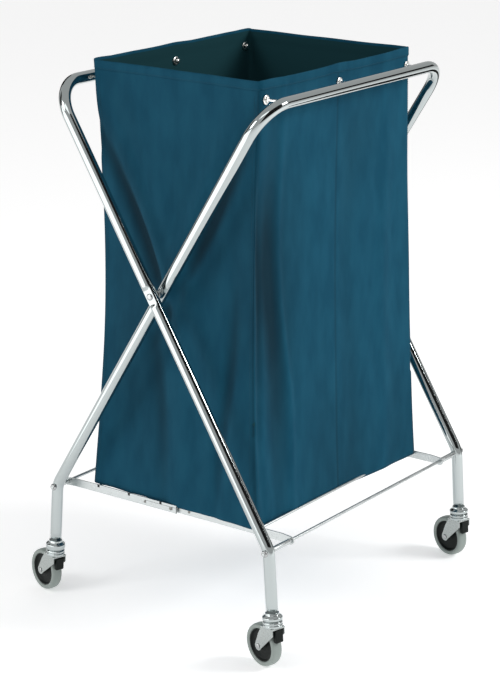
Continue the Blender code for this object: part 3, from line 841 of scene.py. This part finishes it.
def wheel_rise(up, trail, axle):
    """Height of the wheel's centre along the leg line, with the tyre just on the floor."""
    edge = [(WHEEL_R, 0.0050), (0.0386, 0.0092), (0.0360, WHEEL_HALF_W)]
    tilt = abs(axle.z)
    drop = max(r * sqrt(1 - tilt * tilt) + w * tilt for r, w in edge)
    return (drop - TRAIL * trail.z) / up.z


def caster(tag, letter, s):
    side = SIDE[letter]
    up, trail, axle = caster_axes(side)
    foot = Vector((s * LEG_X[letter], side * FOOT_Y, 0))
    rise = wheel_rise(up, trail, axle)
    hub_at = foot + up * rise + trail * TRAIL
    crown = rise + CROWN_LOW
    m = Matrix((trail, axle, up)).transposed()
    yoke, wheel = f"caster_{tag}_yoke", f"caster_{tag}_wheel"

    top = (TUBE_END_Z - GAP) / up.z
    base = crown + CROWN_T + GAP
    collar = [
        (0.0, base), (CROWN_R - 0.0020, base), (CROWN_R + 0.0005, base + 0.0020),
        (CROWN_R + 0.0005, top - 0.0078), (CROWN_R - 0.0030, top - 0.0052),
        (TUBE_R + 0.0020, top - 0.0038), (TUBE_R + 0.0015, top), (0.0, top),
    ]
    lathe_piece(f"collar_{tag}", collar, foot, up, CHROME, f"frame_{letter}",
                [f"caster_{tag}_collar"], segs=48, soft=0.0010, hint=trail)

    fork = Builder()
    disc = [
        (0.0, crown + 0.0005), (CROWN_R - 0.0015, crown + 0.0005), (CROWN_R, crown + 0.0020),
        (CROWN_R, crown + 0.0060), (CROWN_R - 0.0014, crown + 0.0068), (CROWN_R - 0.0014, crown + 0.0080),
        (CROWN_R, crown + 0.0088), (CROWN_R, crown + CROWN_T - 0.0025),
        (CROWN_R - 0.0025, crown + CROWN_T), (0.0, crown + CROWN_T),
    ]
    race = Builder()
    race.lathe(rounded(disc, 0.0008), 48, foot, up, trail)
    finish_piece(race.build(f"ball_race_{tag}", CHROME), yoke)
    outer = FORK_IN + FORK_T
    wide = outer + 0.0003
    fork.prism([(-0.0159, -wide), (0.0174, -wide), (0.0174, wide), (-0.0159, wide)],
               crown - 0.0012, crown + 0.0020, m, foot)
    outline = [(-0.0155, crown + 0.0010), (-0.0155, crown - 0.0120)]
    for k in range(15):
        a = radians(205) + radians(170) * k / 14
        outline.append((TRAIL + 0.0085 * cos(a), rise + 0.0085 * sin(a)))
    outline += [(0.0250, crown - 0.0140), (0.0170, crown - 0.0020), (0.0170, crown + 0.0010)]
    sideways = Matrix((trail, up, -axle)).transposed()
    for sign in (-1, 1):
        low, high = sorted((sign * FORK_IN, sign * outer))
        fork.prism(outline, low, high, sideways, foot)
    fork_obj = soften_edges(fork.build(f"fork_{tag}", ZINC), 0.0005, 3)
    finish_piece(fork_obj, yoke, [f"caster_{tag}_fork"])

    guard = Builder()
    guard.prism([(-0.0185, -0.0085), (-0.0108, -0.0085), (-0.0108, 0.0085), (-0.0185, 0.0085)],
                crown - 0.0255, crown - 0.0015, m, foot)
    guard_obj = soften_edges(guard.build(f"thread_guard_{tag}", BLACK), 0.0016, 3)
    finish_piece(guard_obj, yoke, [f"caster_{tag}_guard"])

    head = outer + GAP
    pin = [
        (0.0, -head - 0.0016), (0.0034, -head - 0.0016), (0.0048, -head - 0.0008), (0.0048, -head),
        (AXLE_R, -head), (AXLE_R, head), (0.0048, head), (0.0048, head + 0.0008),
        (0.0034, head + 0.0016), (0.0, head + 0.0016),
    ]
    lathe_piece(f"axle_{tag}", pin, hub_at, axle, FASTENER, yoke, [f"caster_{tag}_axle"], segs=28)

    tyre = [
        (0.0310, -0.0088), (0.0330, -0.0104), (0.0362, -WHEEL_HALF_W), (0.0386, -0.0092),
        (WHEEL_R - 0.0002, -0.0052), (WHEEL_R, 0.0), (WHEEL_R - 0.0002, 0.0052), (0.0386, 0.0092),
        (0.0362, WHEEL_HALF_W), (0.0330, 0.0104), (0.0310, 0.0088),
    ]
    lathe_piece(f"tyre_{tag}", tyre, hub_at, axle, RUBBER, wheel, [f"caster_{tag}_tyre"],
                segs=96, soft=0.0012)
    bore = AXLE_R + GAP
    hub = [
        (bore, -0.0105), (0.0070, -0.0105), (0.0080, -0.0070), (0.0120, -0.0052), (0.0235, -0.0044),
        (0.0270, -0.0052), (0.0290, -0.0086), (0.0307, -0.0086), (0.0307, 0.0086), (0.0290, 0.0086),
        (0.0270, 0.0052), (0.0235, 0.0044), (0.0120, 0.0052), (0.0080, 0.0070), (0.0070, 0.0105),
        (bore, 0.0105),
    ]
    lathe_piece(f"wheel_centre_{tag}", hub, hub_at, axle, BLACK, wheel, [f"caster_{tag}_hub"],
                segs=72, soft=0.0008)


# ---------------------------------------------------------------- studio


LIGHT_SIZE = 1.3
WORLD_LIGHT, FLOOR_GLOW = 0.55, 0.385
FLOOR_HALF, FLOOR_Z = 30.0, -0.0004
# name, bearing in degrees, distance, width, bottom, top, glow
CARDS = (
    ("card_front", 190, 2.5, 3.0, 0.8, 3.4, 0.0),
    ("card_right", 134, 2.5, 2.4, 1.2, 1.8, 0.0),
    ("card_left", 330, 2.5, 1.0, 0.4, 3.0, 0.0),
    ("card_back", 20, 2.5, 1.4, 0.6, 3.0, 0.0),
    ("card_low", 112, 1.5, 0.9, 0.02, 0.45, 0.0),
    ("glow_left", 292, 1.3, 1.5, 0.02, 1.2, 2.2),
    ("glow_high", 240, 3.2, 3.0, 3.6, 5.4, 2.0),
)


def area_light(name, place, power):
    """A square light aimed at the middle of the cart."""
    data = bpy.data.lights.new(name, "AREA")
    data.shape = "RECTANGLE"
    data.size = data.size_y = LIGHT_SIZE
    data.energy = power
    obj = bpy.data.objects.new(name, data)
    obj.location = place
    obj.rotation_euler = (Vector((0, 0, 0.5)) - Vector(place)).to_track_quat("-Z", "Y").to_euler()
    bpy.context.collection.objects.link(obj)


def card(name, bearing, distance, width, low, high, glow):
    """A card seen only in reflections: black ones put the dark streaks in the chrome, glowing
    ones the white streaks."""
    a = radians(bearing)
    mid = Vector((sin(a), cos(a), 0)) * distance
    across = Vector((cos(a), -sin(a), 0)) * width / 2
    verts = [mid - across + Vector((0, 0, low)), mid + across + Vector((0, 0, low)),
             mid + across + Vector((0, 0, high)), mid - across + Vector((0, 0, high))]
    mat, _, shader = shader_material(name, (0.004, 0.004, 0.004), 0, 1)
    shader.inputs["Emission Color"].default_value = (1.0, 1.0, 1.0, 1.0)
    shader.inputs["Emission Strength"].default_value = glow
    mesh = bpy.data.meshes.new(name)
    mesh.from_pydata(verts, [], [(0, 1, 2, 3)])
    mesh.materials.append(mat)
    obj = bpy.data.objects.new(name, mesh)
    bpy.context.collection.objects.link(obj)
    obj.visible_camera = obj.visible_diffuse = obj.visible_shadow = obj.visible_transmission = False


def studio():
    mat, _, shader = shader_material("pale_floor", (0.93, 0.93, 0.93), 0.0, 0.75, 0.2)
    shader.inputs["Emission Color"].default_value = (1.0, 1.0, 1.0, 1.0)
    shader.inputs["Emission Strength"].default_value = FLOOR_GLOW
    mesh = bpy.data.meshes.new("floor")
    corners = [(x * FLOOR_HALF, y * FLOOR_HALF, FLOOR_Z) for x, y in ((-1, -1), (1, -1), (1, 1), (-1, 1))]
    mesh.from_pydata(corners, [], [(0, 1, 2, 3)])
    mesh.materials.append(mat)
    floor_obj = bpy.data.objects.new("floor", mesh)
    bpy.context.collection.objects.link(floor_obj)
    world = bpy.data.worlds.new("studio")
    bpy.context.scene.world = world
    world.use_nodes = True
    tree = world.node_tree
    background = tree.nodes["Background"]
    background.inputs["Color"].default_value = (1.0, 1.0, 1.0, 1.0)
    # the backdrop is white, and the light it gives is softer than it looks
    rays = tree.nodes.new("ShaderNodeLightPath")
    level = tree.nodes.new("ShaderNodeMapRange")
    level.inputs["To Min"].default_value = WORLD_LIGHT
    level.inputs["To Max"].default_value = 1.0
    tree.links.new(rays.outputs["Is Camera Ray"], level.inputs["Value"])
    tree.links.new(level.outputs["Result"], background.inputs["Strength"])
    bpy.context.scene.view_settings.view_transform = "Standard"
    area_light("key", (1.7, -3.1, 2.5), 78.0)
    area_light("fill", (-3.2, 1.3, 2.9), 36.0)
    for values in CARDS:
        card(*values)


def camera():
    data = bpy.data.cameras.new("camera")
    data.sensor_width = 36.0
    data.lens = 112.7
    data.clip_end = 100.0
    cam = bpy.data.objects.new("camera", data)
    yaw, pitch, roll = radians(54.22), radians(16.96), radians(0.31)
    ahead = Vector((sin(yaw) * cos(pitch), cos(yaw) * cos(pitch), -sin(pitch)))
    right = ahead.cross(Vector((0, 0, 1))).normalized()
    up = right.cross(ahead)
    right, up = right * cos(roll) + up * sin(roll), up * cos(roll) - right * sin(roll)
    cam.matrix_world = Matrix((right, up, -ahead)).transposed().to_4x4()
    cam.location = Vector((-3.1984, -2.2863, 1.6754)) + SHIFT
    bpy.context.collection.objects.link(cam)
    bpy.context.scene.camera = cam


frame_tube("a", -1)
frame_tube("b", 1)
pivot_pieces()
for part in "ab":
    rod_pieces(part)
    platform_piece(part)
platform_rivets()
bag_pieces()
eyelets()
for tag, letter, s in (("a1", "a", -1), ("a2", "a", 1), ("b1", "b", -1), ("b2", "b", 1)):
    caster(tag, letter, s)
studio()
camera()
